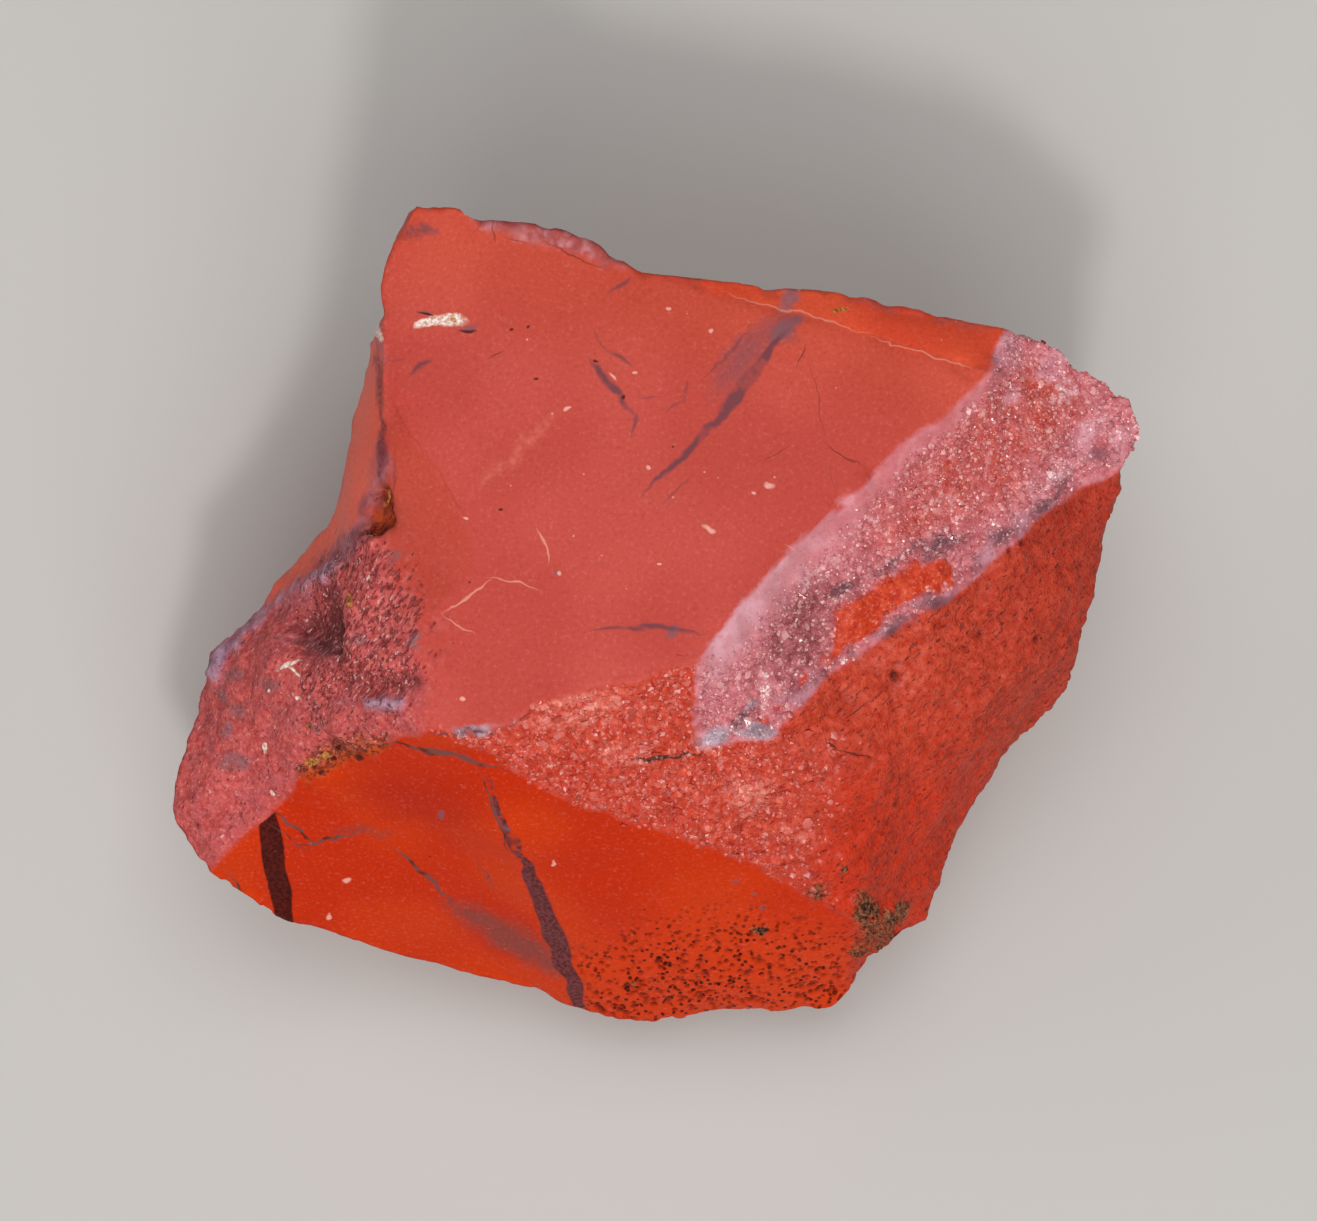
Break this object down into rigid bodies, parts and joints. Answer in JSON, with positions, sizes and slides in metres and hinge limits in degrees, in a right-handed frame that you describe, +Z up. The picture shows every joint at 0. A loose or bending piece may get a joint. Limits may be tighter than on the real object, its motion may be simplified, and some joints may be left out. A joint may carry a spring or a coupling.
{
  "type": "raw red jasper chunk",
  "caption": "Raw chunk of red jasper with a smooth top, a bright fracture face in front, a sparkling quartz bevel, rough flanks and a flat face to rest on.",
  "frame": {"origin": "middle of the stone's outline seen from above, on the face that it rests on", "axes": "+Z up out of the smooth top, +X along the longest side towards the quartz bevel, +Y from the bright front fracture to the back"},
  "size_m": [0.05, 0.0384, 0.027],
  "materials": {
    "red_jasper": "waxy smooth fracture faces, sugary quartz bevel and matt rough flanks, brick red with purple-grey veins"
  },
  "bodies": {
    "root": {"jasper_chunk": "red_jasper"}
  },
  "joints": []
}
